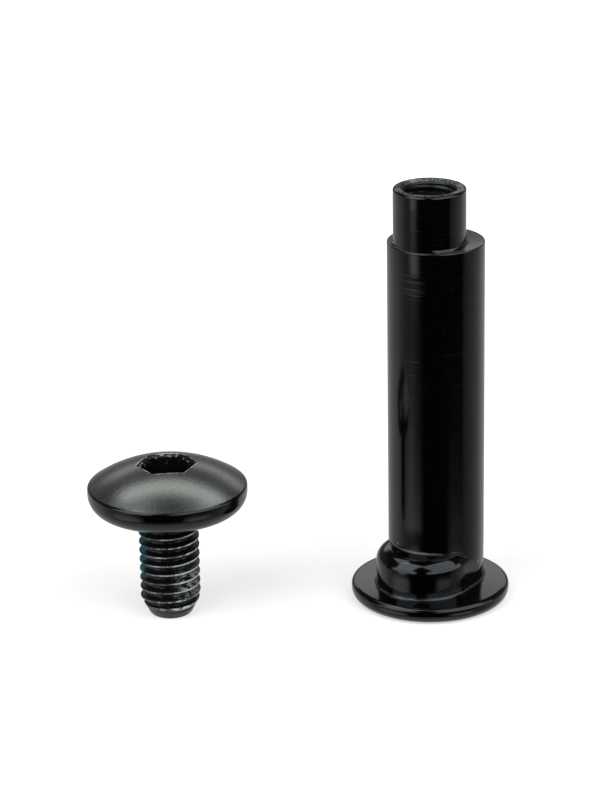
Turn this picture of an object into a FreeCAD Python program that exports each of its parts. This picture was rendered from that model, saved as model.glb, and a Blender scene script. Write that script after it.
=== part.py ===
import FreeCAD
import Part
import Sketcher
import math
import os

# Two-piece inline skate axle, in millimetres and degrees, +Z up.
# The sleeve stands on the flat face of its head, whose centre is the origin.
# The screw that closes the sleeve's far end stands beside it on its own tip.

SIZES = {
    # Sleeve: its head, and the slot-shaped key that sits in the frame's hole
    "head_diameter": 13.2,
    "head_thickness": 1.42,
    "head_lower_round": 0.85,
    "head_upper_round": 0.36,
    "key_height": 3.4,
    "key_inset": 0.02,
    "key_edge_round": 1.25,
    "key_root_round": 0.25,
    # Sleeve: the barrel for the wheel's bearings, beside the head's axis
    "barrel_diameter": 8.0,
    "barrel_offset": 1.0,
    "barrel_length": 26.1,
    "barrel_chamfer": 0.1,
    "sleeve_turn": 59.2,
    # Sleeve: the spigot that sits in the frame's far wall
    "spigot_inset": 0.02,
    "spigot_length": 4.7,
    "spigot_end_bevel": 0.2,
    "spigot_root_bevel": 0.3,
    # Thread of the sleeve's bore and of the screw
    "thread_diameter": 5.0,
    "thread_pitch": 0.8,
    "bore_depth": 13.0,
    "bore_mouth_widening": 0.3,
    "drill_point_angle": 118.0,
    # Screw: shank
    "shank_length": 9.2,
    "neck_length": 0.15,
    "neck_undercut": 0.45,
    "seat_clearance": 0.05,
    "tip_length": 1.5,
    "tip_diameter": 3.4,
    # Screw: domed cap and hexagon socket
    "cap_diameter": 13.2,
    "cap_lower_round": 1.6,
    "cap_rim_height": 2.35,
    "cap_edge_bevel": 0.3,
    "cap_dome_rise": 1.9,
    "hex_across_flats": 4.0,
    "hex_depth": 2.6,
    "hex_mouth_bevel": 0.25,
    "hex_turn": 8.0,
    # Where the screw stands, from the sleeve's axis
    "screw_left": 21.6,
    "screw_front": 3.6,
}

# A sketch counts its own axes below zero, and its curves' points from one
X_AXIS, Y_AXIS = range(-1, -3, -1)
START, END, CENTRE = range(1, 4)
SKETCH_ORIGIN = (X_AXIS, START)

FULL_TURN = 360.0
BEVEL_ANGLE = -45.0
HEX_SIDES = 6
NEAR = 1e-4

# The most of the head's thickness that each of its rounds may take
MOST_LOWER = 0.65
MOST_UPPER = 0.3

doc = FreeCAD.newDocument("skate_axle")
sheet = doc.addObject("Spreadsheet::Sheet", "Sizes")
for row, (alias, value) in enumerate(SIZES.items(), start=1):
    sheet.set(f"A{row}", alias)
    sheet.set(f"B{row}", str(value))
    sheet.setAlias(f"B{row}", alias)
doc.recompute()


class Size:
    """A number together with the sheet formula that gives it."""

    def __init__(self, number, formula):
        self.number = float(number)
        self.formula = formula

    def _with(self, other, sign, number):
        formula = other.formula if isinstance(other, Size) else repr(other)
        return Size(number, f"({self.formula} {sign} {formula})")

    def __add__(self, other):
        return self._with(other, "+", self.number + number_of(other))

    def __sub__(self, other):
        return self._with(other, "-", self.number - number_of(other))

    def __mul__(self, other):
        return self._with(other, "*", self.number * number_of(other))

    def __truediv__(self, other):
        return self._with(other, "/", self.number / number_of(other))


def number_of(value):
    return value.number if isinstance(value, Size) else float(value)


def size(alias):
    return Size(SIZES[alias], f"Sizes.{alias}")


def smaller(one, other):
    """The smaller of two sizes, such as a round and the wall that limits it."""
    return Size(min(one.number, other.number), f"min({one.formula}; {other.formula})")


def cone_height(radius, point_angle):
    """Height of a cone with this base radius and this full angle at its point."""
    half = point_angle / 2
    height = radius.number / math.tan(math.radians(half.number))
    return Size(height, f"({radius.formula} / tan({half.formula} * 1 deg))")


def slope(rise, run):
    """Angle of a side that goes out by rise over run."""
    ratio = rise / run
    return Size(math.degrees(math.atan(ratio.number)), f"atan({ratio.formula})")


def bind(owner, prop, value):
    owner.setExpression(prop, value.formula)


def origin_plane(body, role):
    for feature in body.Origin.OriginFeatures:
        if feature.Role == role:
            return feature
    raise ValueError(f"{body.Name} has no {role}")


def sketch_on(body, name, plane, height=None):
    sketch = body.newObject("Sketcher::SketchObject", name)
    sketch.AttachmentSupport = (origin_plane(body, plane), [""])
    sketch.MapMode = "FlatFace"
    if height is not None:
        bind(sketch, "AttachmentOffset.Base.z", height)
    return sketch


def pin_point(sketch, geometry, end, x, y):
    """Holds one end of a line or arc at (x, y), each a Size, or None on the axis."""
    ends = (geometry, end)
    for axis, kind, value in ((Y_AXIS, "DistanceX", x), (X_AXIS, "DistanceY", y)):
        if value is None:
            sketch.addConstraint(Sketcher.Constraint("PointOnObject", *ends, axis))
            continue
        held = Sketcher.Constraint(kind, *SKETCH_ORIGIN, *ends, value.number)
        bind(sketch, f"Constraints[{sketch.addConstraint(held)}]", value)


def point(x, y):
    return FreeCAD.Vector(0 if x is None else x.number, 0 if y is None else y.number, 0)


def arc_through(begin, finish, radius, bulge):
    """Short arc from begin to finish. bulge 1 turns left on the way, -1 turns right."""
    chord = finish - begin
    sagitta = radius - math.sqrt(max(radius**2 - (chord.Length / 2) ** 2, 0))
    side = FreeCAD.Vector(chord.y, -chord.x, 0).normalize() * (bulge * sagitta)
    return Part.Arc(begin, (begin + finish) / 2 + side, finish)


def lathe_sketch(body, name, corners, arcs):
    """Closed half section, drawn upright.

    arcs maps a corner's number to the radius and the turn of the edge after it.
    """
    sketch = sketch_on(body, name, "XZ_Plane")
    count = len(corners)
    ends = []
    for number, corner in enumerate(corners):
        begin = point(*corner)
        finish = point(*corners[(number + 1) % count])
        if number in arcs:
            radius, bulge = arcs[number]
            sketch.addGeometry(arc_through(begin, finish, radius.number, bulge))
            ends.append((START, END) if bulge > 0 else (END, START))
        else:
            sketch.addGeometry(Part.LineSegment(begin, finish))
            ends.append((START, END))
    for number, corner in enumerate(corners):
        before = (number - 1) % count
        joined = (before, ends[before][1], number, ends[number][0])
        sketch.addConstraint(Sketcher.Constraint("Coincident", *joined))
        pin_point(sketch, number, ends[number][0], *corner)
    for number, (radius, _) in arcs.items():
        held = sketch.addConstraint(Sketcher.Constraint("Radius", number, radius.number))
        bind(sketch, f"Constraints[{held}]", radius)
    return sketch


def turned(body, name, kind, corners, arcs):
    """A revolution or groove of a half section about the body's own Z axis."""
    sketch = lathe_sketch(body, f"{name}_section", corners, arcs)
    feature = body.newObject(f"PartDesign::{kind}", name)
    feature.Profile = sketch
    feature.ReferenceAxis = (sketch, ["V_Axis"])
    feature.Angle = FULL_TURN
    doc.recompute()
    return feature


def circle(sketch, radius, centre_x=None):
    """A full circle about a point of the sketch's X axis, or about its origin."""
    centre = point(centre_x, None)
    number = sketch.addGeometry(Part.Circle(centre, FreeCAD.Vector(0, 0, 1), radius.number))
    pin_point(sketch, number, CENTRE, centre_x, None)
    held = sketch.addConstraint(Sketcher.Constraint("Radius", number, radius.number))
    bind(sketch, f"Constraints[{held}]", radius)


def raised(body, name, sketch, length):
    feature = body.newObject("PartDesign::Pad", name)
    feature.Profile = sketch
    bind(feature, "Length", length)
    doc.recompute()
    return feature


def dressed(body, name, kind, base, edges, prop, value):
    """A fillet or chamfer of the named edges."""
    feature = body.newObject(f"PartDesign::{kind}", name)
    feature.Base = (base, edges)
    bind(feature, prop, value)
    doc.recompute()
    return feature


def edges_at(feature, height, reach):
    """Names of the edges that lie level at this height, no further from the Z axis than reach."""
    names = []
    for number, edge in enumerate(feature.Shape.Edges, start=1):
        box = edge.BoundBox
        far = max(math.hypot(vertex.X, vertex.Y) for vertex in edge.Vertexes)
        level = abs(box.ZMin - height) < NEAR and abs(box.ZMax - height) < NEAR
        if level and far < reach + NEAR:
            names.append(f"Edge{number}")
    return names


def new_body(label):
    body = doc.addObject("PartDesign::Body", label)
    body.Label = label
    return body


# Sizes shared by both pieces

thread_radius = size("thread_diameter") / 2
minor_radius = (size("thread_diameter") - size("thread_pitch")) / 2

# Sleeve

sleeve = new_body("axle_sleeve")

head_radius = size("head_diameter") / 2
head_top = size("head_thickness")
head_upper_round = smaller(size("head_upper_round"), head_top * MOST_UPPER)
head_lower_round = smaller(size("head_lower_round"), head_top * MOST_LOWER)
turned(
    sleeve,
    "head",
    "Revolution",
    [
        (None, None),
        (head_radius - head_lower_round, None),
        (head_radius, head_lower_round),
        (head_radius, head_top - head_upper_round),
        (head_radius - head_upper_round, head_top),
        (None, head_top),
    ],
    {1: (head_lower_round, 1), 3: (head_upper_round, 1)},
)

# The key is a slot outline, centred on the head, whose one end lies under the barrel
barrel_radius = size("barrel_diameter") / 2
barrel_offset = size("barrel_offset")
key_radius = barrel_radius - size("key_inset")
key_top = head_top + size("key_height")


def slot_sketch(body, name, height, radius, reach):
    """Two half circles, their centres at plus and minus reach on X, joined by straight sides."""
    sketch = sketch_on(body, name, "XY_Plane", height)
    right_centre = FreeCAD.Vector(reach.number, 0, 0)
    left_centre = FreeCAD.Vector(-reach.number, 0, 0)
    along = FreeCAD.Vector(radius.number, 0, 0)
    across = FreeCAD.Vector(0, radius.number, 0)
    right = sketch.addGeometry(
        Part.Arc(right_centre - across, right_centre + along, right_centre + across)
    )
    top = sketch.addGeometry(Part.LineSegment(right_centre + across, left_centre + across))
    left = sketch.addGeometry(
        Part.Arc(left_centre + across, left_centre - along, left_centre - across)
    )
    bottom = sketch.addGeometry(Part.LineSegment(left_centre - across, right_centre - across))
    for one, other in ((right, top), (top, left), (left, bottom), (bottom, right)):
        sketch.addConstraint(Sketcher.Constraint("Tangent", one, END, other, START))
    sketch.addConstraint(Sketcher.Constraint("PointOnObject", right, CENTRE, X_AXIS))
    centres = (right, CENTRE, left, CENTRE)
    sketch.addConstraint(Sketcher.Constraint("Symmetric", *centres, *SKETCH_ORIGIN))
    sketch.addConstraint(Sketcher.Constraint("Equal", right, left))
    held = Sketcher.Constraint("DistanceX", *SKETCH_ORIGIN, right, CENTRE, reach.number)
    bind(sketch, f"Constraints[{sketch.addConstraint(held)}]", reach)
    held = sketch.addConstraint(Sketcher.Constraint("Radius", right, radius.number))
    bind(sketch, f"Constraints[{held}]", radius)
    return sketch


key_outline = slot_sketch(sleeve, "key_outline", head_top, key_radius, barrel_offset)
key = raised(sleeve, "key", key_outline, size("key_height"))
key_reach = key_radius.number + barrel_offset.number
root = edges_at(key, head_top.number, key_reach)
key_root = dressed(sleeve, "key_root", "Fillet", key, root, "Radius", size("key_root_round"))
rim = edges_at(key_root, key_top.number, key_reach)
key_edge = dressed(sleeve, "key_edge", "Fillet", key_root, rim, "Radius", size("key_edge_round"))

# The barrel is turned about an axis beside the head's, flush with one end of the key.
# Its foot starts just inside that end and widens to the barrel's size at the key's top.
foot_radius = key_radius - size("key_inset")
foot_outline = sketch_on(sleeve, "foot_outline", "XY_Plane", head_top)
circle(foot_outline, foot_radius, barrel_offset)
foot = raised(sleeve, "barrel_foot", foot_outline, size("key_height"))
bind(foot, "TaperAngle", slope(barrel_radius - foot_radius, size("key_height")))

barrel_outline = sketch_on(sleeve, "barrel_outline", "XY_Plane", key_top)
circle(barrel_outline, barrel_radius, barrel_offset)
barrel = raised(sleeve, "barrel", barrel_outline, size("barrel_length"))
ledge = key_top + size("barrel_length")
barrel_rim = edges_at(barrel, ledge.number, barrel_radius.number + barrel_offset.number)
barrel_edge = dressed(
    sleeve, "barrel_edge", "Chamfer", barrel, barrel_rim, "Size", size("barrel_chamfer")
)

# The spigot is back on the head's axis and all but touches the barrel's side
spigot_radius = barrel_radius - barrel_offset - size("spigot_inset")
spigot_root_bevel = size("spigot_root_bevel")
spigot_foot_radius = spigot_radius + spigot_root_bevel
spigot_foot = ledge - size("barrel_chamfer") - size("spigot_inset")
spigot_end = ledge + size("spigot_length")
spigot_end_bevel = size("spigot_end_bevel")
turned(
    sleeve,
    "spigot",
    "Revolution",
    [
        (None, spigot_foot),
        (spigot_foot_radius, spigot_foot),
        (spigot_foot_radius, ledge),
        (spigot_radius, ledge + spigot_root_bevel),
        (spigot_radius, spigot_end - spigot_end_bevel),
        (spigot_radius - spigot_end_bevel, spigot_end),
        (None, spigot_end),
    ],
    {},
)

# Turning the barrel trims the spigot's root where it would stand out past the barrel's side
trim_outline = sketch_on(sleeve, "trim_outline", "XY_Plane", spigot_foot)
circle(trim_outline, barrel_radius, barrel_offset)
circle(trim_outline, barrel_radius + spigot_foot_radius, barrel_offset)
trim = sleeve.newObject("PartDesign::Pocket", "spigot_trim")
trim.Profile = trim_outline
trim.Reversed = True
bind(trim, "Length", size("spigot_length"))
doc.recompute()

# Tapped bore in the spigot's end, with its drill point and widened mouth
mouth_radius = minor_radius + size("bore_mouth_widening")
bore_floor = spigot_end - size("bore_depth")
turned(
    sleeve,
    "bore",
    "Groove",
    [
        (None, bore_floor - cone_height(minor_radius, size("drill_point_angle"))),
        (minor_radius, bore_floor),
        (minor_radius, spigot_end - size("bore_mouth_widening")),
        (mouth_radius, spigot_end),
        (None, spigot_end),
    ],
    {},
)
bind(sleeve, "Placement.Rotation.Angle", size("sleeve_turn"))

# Screw

screw = new_body("axle_screw")

underside = size("shank_length")
neck_radius = thread_radius - size("neck_undercut")
seat_inner_radius = thread_radius + size("seat_clearance")
neck_top = underside - (seat_inner_radius - neck_radius)
neck_foot = neck_top - size("neck_length")
tip_radius = size("tip_diameter") / 2
cap_radius = size("cap_diameter") / 2
cap_lower_round = size("cap_lower_round")
cap_edge_bevel = size("cap_edge_bevel")
cap_rim = underside + size("cap_rim_height")
cap_top = cap_rim + size("cap_dome_rise")
dome_foot = cap_radius - cap_edge_bevel
dome_rise = size("cap_dome_rise")
dome_radius = (dome_foot * dome_foot / dome_rise + dome_rise) / 2
turned(
    screw,
    "shank_and_cap",
    "Revolution",
    [
        (None, None),
        (tip_radius, None),
        (thread_radius, size("tip_length")),
        (thread_radius, neck_foot - size("neck_undercut")),
        (neck_radius, neck_foot),
        (neck_radius, neck_top),
        (seat_inner_radius, underside),
        (cap_radius - cap_lower_round, underside),
        (cap_radius, underside + cap_lower_round),
        (cap_radius, cap_rim - cap_edge_bevel),
        (dome_foot, cap_rim),
        (None, cap_top),
    ],
    {7: (cap_lower_round, 1), 10: (dome_radius, 1)},
)


def hex_corner_radius(across_flats):
    """How far a hexagon's corners lie from its middle."""
    return across_flats / 2 / math.cos(math.pi / HEX_SIDES)


def hex_sketch(body, name, height, across_flats):
    """A regular hexagon about the Z axis with corners on the X axis."""
    sketch = sketch_on(body, name, "XY_Plane", height)
    corner_radius = hex_corner_radius(across_flats)
    angle = 2 * math.pi / HEX_SIDES
    points = [
        FreeCAD.Vector(math.cos(angle * n), math.sin(angle * n), 0) * corner_radius.number
        for n in range(HEX_SIDES)
    ]
    for n in range(HEX_SIDES):
        sketch.addGeometry(Part.LineSegment(points[n], points[(n + 1) % HEX_SIDES]))
    through_corners = Part.Circle(point(None, None), FreeCAD.Vector(0, 0, 1), corner_radius.number)
    guide = sketch.addGeometry(through_corners, True)
    sketch.addConstraint(Sketcher.Constraint("Coincident", guide, CENTRE, *SKETCH_ORIGIN))
    for n in range(HEX_SIDES):
        following = (n + 1) % HEX_SIDES
        sketch.addConstraint(Sketcher.Constraint("Coincident", n, END, following, START))
        sketch.addConstraint(Sketcher.Constraint("PointOnObject", n, START, guide))
        if n > 0:
            sketch.addConstraint(Sketcher.Constraint("Equal", 0, n))
    sketch.addConstraint(Sketcher.Constraint("PointOnObject", 0, START, X_AXIS))
    held = sketch.addConstraint(Sketcher.Constraint("Radius", guide, corner_radius.number))
    bind(sketch, f"Constraints[{held}]", corner_radius)
    return sketch


# Hexagon socket: a straight broached wall on a drilled pilot, with a bevelled mouth
hex_flats = size("hex_across_flats")
hex_floor = cap_top - size("hex_depth")
socket = screw.newObject("PartDesign::Pocket", "socket")
socket.Profile = hex_sketch(screw, "socket_outline", cap_top, hex_flats)
bind(socket, "Length", size("hex_depth"))
doc.recompute()

# The bevel starts at the dome's top, so it also takes what the dome falls by at the corners
hex_corner = hex_corner_radius(hex_flats)
dome_drop = hex_corner * hex_corner / dome_radius / 2
bevel_depth = size("hex_mouth_bevel") + dome_drop
mouth = screw.newObject("PartDesign::Pocket", "socket_mouth")
mouth.Profile = hex_sketch(screw, "mouth_outline", cap_top, hex_flats + bevel_depth * 2)
mouth.TaperAngle = BEVEL_ANGLE
bind(mouth, "Length", bevel_depth)
doc.recompute()

turned(
    screw,
    "socket_point",
    "Groove",
    [
        (None, hex_floor - cone_height(hex_flats / 2, size("drill_point_angle"))),
        (hex_flats / 2, hex_floor),
        (None, hex_floor),
    ],
    {},
)
bind(screw, "Placement.Rotation.Angle", size("hex_turn"))
bind(screw, "Placement.Base.x", size("screw_left") * -1)
bind(screw, "Placement.Base.y", size("screw_front") * -1)

# Check and write

doc.recompute()
for item in doc.Objects:
    if "Invalid" in item.State or "Error" in item.State:
        raise RuntimeError(f"{item.Label} is {item.State}")

pieces = (sleeve, screw)
for piece in pieces:
    if piece.Shape.isNull() or not piece.Shape.isValid() or len(piece.Shape.Solids) != 1:
        raise RuntimeError(f"{piece.Label} is not one valid solid")

os.makedirs("parts", exist_ok=True)
for piece in pieces:
    piece.Shape.exportStep(f"parts/{piece.Label}.step")
    print(piece.Label, round(piece.Shape.Volume, 3), piece.Shape.BoundBox)
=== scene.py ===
"""The looks of a two-piece inline skate axle: black sleeve, black screw, floor, light and camera."""

import math

import bpy
import numpy as np
from mathutils import Matrix, Vector


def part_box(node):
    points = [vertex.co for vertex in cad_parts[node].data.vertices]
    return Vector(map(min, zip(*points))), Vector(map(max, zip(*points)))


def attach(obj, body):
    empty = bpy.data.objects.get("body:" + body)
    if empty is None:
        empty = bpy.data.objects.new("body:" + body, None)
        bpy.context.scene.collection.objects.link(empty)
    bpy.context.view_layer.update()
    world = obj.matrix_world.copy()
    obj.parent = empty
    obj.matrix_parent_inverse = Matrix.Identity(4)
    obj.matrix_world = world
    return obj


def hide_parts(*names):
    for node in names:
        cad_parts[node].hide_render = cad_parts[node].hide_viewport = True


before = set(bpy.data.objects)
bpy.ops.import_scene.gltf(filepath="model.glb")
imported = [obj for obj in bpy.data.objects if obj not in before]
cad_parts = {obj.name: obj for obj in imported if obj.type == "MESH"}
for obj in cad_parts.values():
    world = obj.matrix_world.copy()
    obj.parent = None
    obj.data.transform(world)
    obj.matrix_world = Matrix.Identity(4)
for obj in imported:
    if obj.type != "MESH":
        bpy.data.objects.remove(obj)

bl_info = {
    "name": "Skate Axle",
    "version": (1, 0, 0),
    "blender": (4, 5, 0),
    "location": "3D Viewport > Sidebar > Skate Axle",
    "description": "Builds the sleeve and the screw of an inline skate axle, with their stage",
    "category": "Add Mesh",
}

MM = 0.001
COLUMNS = 360
QUARTER = math.pi / 2
DRILL_HALF_ANGLE = math.radians(59)
SHARP_EDGE = math.radians(34)
SCREW_LOW, SCREW_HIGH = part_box("axle_screw")
SCREW_AXIS = tuple(round((SCREW_LOW[n] + SCREW_HIGH[n]) / 2, 4) for n in range(2))


# Sizes, colours and amounts


def length(name, description, millimetres):
    """A size, given in millimetres and kept in metres."""
    return bpy.props.FloatProperty(
        name=name, description=description, default=millimetres * MM, unit="LENGTH", precision=5
    )


def angle(name, description, degrees):
    """An angle, given in degrees and kept in radians."""
    return bpy.props.FloatProperty(
        name=name, description=description, default=math.radians(degrees), subtype="ANGLE"
    )


def colour(name, description, red, green, blue):
    """A colour in linear light."""
    return bpy.props.FloatVectorProperty(
        name=name,
        description=description,
        default=(red, green, blue),
        subtype="COLOR",
        min=0.0,
        max=1.0,
    )


def amount(name, description, default):
    """A brightness of 0 or more."""
    return bpy.props.FloatProperty(name=name, description=description, default=default, min=0.0)


class AxleSleeveSettings(bpy.types.PropertyGroup):
    head_diameter: length("Head diameter", "Across the sleeve's round head", 13.2)
    head_thickness: length("Head thickness", "From the outer face to the seat", 1.42)
    head_lower_round: length("Head lower round", "Radius of the head's outer edge", 0.85)
    head_upper_round: length("Head upper round", "Radius of the edge round the seat", 0.36)
    key_height: length("Key height", "Height of the slot-shaped key over the seat", 3.4)
    key_radius: length("Key end radius", "Radius of the key's two ends", 3.98)
    key_edge_round: length("Key edge round", "Radius of the key's top edge", 1.25)
    key_root_round: length("Key root round", "Radius where the key meets the seat", 0.25)
    barrel_diameter: length("Barrel diameter", "Across the bearing seat", 8.0)
    barrel_offset: length("Barrel offset", "From the head's axis to the barrel's axis", 1.0)
    barrel_length: length("Barrel length", "From the key's top to the ledge", 26.1)
    barrel_edge_round: length("Barrel edge round", "Radius of the ledge's edge", 0.1)
    barrel_root_round: length("Barrel root round", "Radius where the barrel meets the key", 0.16)
    turn: angle("Turn", "Direction in which the barrel is offset", 59.2)
    spigot_radius: length("Spigot radius", "Radius of the thinner end", 2.98)
    spigot_length: length("Spigot length", "From the ledge to the end face", 4.7)
    spigot_end_round: length("Spigot end round", "Radius of the end's edge", 0.2)
    spigot_root_round: length("Spigot root round", "Radius where the spigot meets the ledge", 0.3)
    thread_pitch: length("Thread pitch", "From one turn of the thread to the next", 0.8)
    bore_radius: length("Bore radius", "Radius inside the thread's crests", 2.1)
    bore_depth: length("Bore depth", "Depth of the bore's full width", 13.0)
    bore_mouth: length("Bore mouth", "Width of the bevel at the bore's mouth", 0.3)
    groove_depth: length("Groove depth", "Depth of the thread cut in the bore", 0.36)
    coat: colour("Coat", "Colour of the gloss black coat", 0.0006, 0.0006, 0.0007)
    ring: colour("Rings", "Colour of the fine rings that turning leaves", 0.022, 0.022, 0.023)
    dust: colour("Fine dust", "Colour of the finest grains on the coat", 0.032, 0.034, 0.032)
    speck: colour("Specks", "Colour of the larger specks on the coat", 0.20, 0.20, 0.21)
    ledge: colour("Ledge", "Colour of the thin coat on the ledge", 0.028, 0.029, 0.027)
    # Painted highlight: this lighter colour along the key's top and root fillets stands in for the light
    # that those fillets catch.
    seam: colour("Fillet_highlights", "Colour of the thin coat along the key's seams", 0.070, 0.074, 0.070)
    end_metal: colour("End face", "Colour of the thinly coated, rough turned end", 0.030, 0.031, 0.027)
    bare_end: colour("Bare end", "Colour of the end face where the coat has gone", 0.32, 0.32, 0.265)
    bore_fleck: colour("Bore flecks", "Colour of the lighter places in the bore", 0.02, 0.02, 0.022)


class AxleScrewSettings(bpy.types.PropertyGroup):
    shank_length: length("Shank length", "From the tip to the cap's seat", 9.2)
    thread_radius: length("Thread radius", "Radius of the thread's crests", 2.5)
    thread_pitch: length("Thread pitch", "From one turn of the thread to the next", 0.8)
    thread_depth: length("Thread depth", "Height of the thread's crests", 0.45)
    tip_radius: length("Tip radius", "Radius of the flat tip", 1.7)
    tip_length: length("Tip length", "Height of the tapered tip", 1.5)
    neck_top: length("Neck round", "Radius where the neck meets the cap", 0.5)
    neck_length: length("Neck length", "Plain length of the neck", 0.15)
    cap_radius: length("Cap radius", "Radius of the domed cap", 6.6)
    cap_lower_round: length("Cap lower round", "Radius of the cap's lower edge", 1.6)
    cap_edge_round: length("Cap edge round", "Radius between the rim and the dome", 0.3)
    cap_rim_height: length("Cap rim height", "From the seat to the dome's foot", 2.35)
    dome_rise: length("Dome rise", "Height of the dome over its foot", 1.9)
    hex_flats: length("Hexagon flats", "Across the flats of the socket", 4.0)
    hex_depth: length("Hexagon depth", "Depth of the socket from the dome's top", 2.6)
    hex_bevel: length("Hexagon bevel", "Bevel at the socket's mouth", 0.25)
    hex_turn: angle("Hexagon turn", "Turn of the socket's corners", 8.0)
    satin: colour("Satin black", "Colour of the dome's satin coat", 0.0022, 0.0026, 0.0023)
    streak: colour("Streaks", "Colour of the dome's fine lines", 0.0050, 0.0058, 0.0050)
    dome_speck: colour("Dome specks", "Colour of the specks on the dome", 0.34, 0.36, 0.35)
    rim: colour("Rim black", "Colour of the rim's gloss coat", 0.0006, 0.0006, 0.0006)
    rim_speck: colour("Rim specks", "Colour of the specks on the rim", 0.30, 0.31, 0.31)
    socket: colour("Socket", "Colour of the socket's walls", 0.0008, 0.0008, 0.0009)
    # Painted glints: this bright colour near the socket's mouth stands in for glints of light, laid on as
    # chipped coat.
    socket_glint: colour("Glints", "Colour of bare metal in the socket's mouth", 0.36, 0.36, 0.37)
    # Painted highlight: these two colours on the socket's outer edge stand in for the light that the
    # sharp edge catches.
    edge_highlight: colour("Thin edge", "Colour of the thin coat on the socket's edge", 0.04, 0.042, 0.04)
    edge_glint: colour("Bare edge", "Colour of bare metal on the socket's edge", 0.55, 0.56, 0.55)
    thread: colour("Thread black", "Colour of the thread's coat", 0.0012, 0.0012, 0.0013)
    tip: colour("Tip", "Colour of the thin coat on the tip", 0.045, 0.040, 0.036)
    thread_speck: colour("Thread specks", "Colour of the specks on the thread", 0.50, 0.50, 0.50)
    # Partly painted highlight: besides bare metal, this bright colour on the crests stands in for the
    # light that they catch, mostly on the lit side.
    worn: colour("Worn crests", "Colour of bare metal on the thread's crests", 0.82, 0.82, 0.80)
    patch: colour("Thread patch", "Colour of the locking patch on the thread", 0.010, 0.150, 0.180)
    dust: colour("Dust", "Colour of the dry smear on the thread", 0.300, 0.320, 0.300)


class AxleStageSettings(bpy.types.PropertyGroup):
    camera_distance: length("Camera distance", "From the sleeve's middle to the camera", 254.14)
    camera_target: length("Camera target", "Height of the point that the distance is measured to", 17.0)
    camera_elevation: angle("Camera elevation", "Height of the camera over that point", 20.297)
    camera_yaw: angle("Camera yaw", "Turn of the camera to the side", -2.572)
    camera_pitch: angle("Camera pitch", "Downward tilt of the camera", 20.193)
    camera_roll: angle("Camera roll", "Lean of the picture", -0.976)
    lens: bpy.props.FloatProperty(
        name="Lens", description="Focal length in millimetres", default=138.55, unit="CAMERA"
    )
    floor: colour("Floor", "Colour of the pale floor", 0.86, 0.80, 0.75)
    cool: colour("Side lamps", "Colour of the lamps at the sides and of the blue panels", 0.84, 0.92, 1.0)
    warm: colour("Top lamps", "Colour of the lamps above and behind the screw", 0.93, 1.0, 0.93)
    side_glow: amount("Side glow", "Brightness of the lamps at the sides", 1.8)
    top_glow: amount("Top glow", "Brightness of the lamps above and behind the screw", 0.95)
    under_glow: amount("Under glow", "Brightness of the floor close under the object", 0.65)
    fill: amount("Fill", "Brightness of the room as diffuse light", 0.22)


# Shapes


def circle_reach(angles, radius, off, towards):
    """Distance from the origin to a circle, along each angle.

    With a the angle from the circle's middle, which lies off away in the direction towards, the
    distance is off times cos a, plus the square root of radius squared less (off times sin a)
    squared.
    """
    across = off * np.sin(angles - towards)
    return off * np.cos(angles - towards) + np.sqrt(radius**2 - across**2)


def slot_reach(angles, radius, half, towards):
    """Distance from the middle of a slot outline to its edge, along each angle.

    It is radius over |sin a| where that meets a straight side, and elsewhere the distance to the
    end circle on that side.
    """
    turned = angles - towards
    side = radius / np.maximum(np.abs(np.sin(turned)), 1e-9)
    forward = circle_reach(angles, radius, half, towards)
    backward = circle_reach(angles, radius, half, towards + math.pi)
    straight = np.abs(side * np.cos(turned)) <= half
    return np.where(straight, side, np.maximum(forward, backward))


def hex_reach(angles, apothem, turn):
    """Distance from a hexagon's middle to its side, along each angle.

    It is the apothem over the cosine of the angle from the middle of that side.
    """
    sixth = math.pi / 3
    return apothem / np.cos(np.mod(angles - turn, sixth) - sixth / 2)


def thread_form(phase, root_flat=0.22, crest_flat=0.12):
    """Height of a thread, 0 at the root to 1 at the crest, for a place in its pitch from 0 to 1.

    A triangle wave is cut off at the root's and the crest's flats and blended with its own
    smoothstep, which rounds the corners.
    """
    wave = 1 - np.abs(2 * np.mod(phase, 1) - 1)
    rise = np.clip((wave - root_flat) / (1 - root_flat - crest_flat), 0, 1)
    return 0.5 * rise + 0.5 * rise * rise * (3 - 2 * rise)


def smooth_step(low, high, value):
    """0 below low and 1 above high, with 3t^2 - 2t^3 between."""
    t = np.clip((value - low) / (high - low), 0, 1)
    return t * t * (3 - 2 * t)


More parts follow.
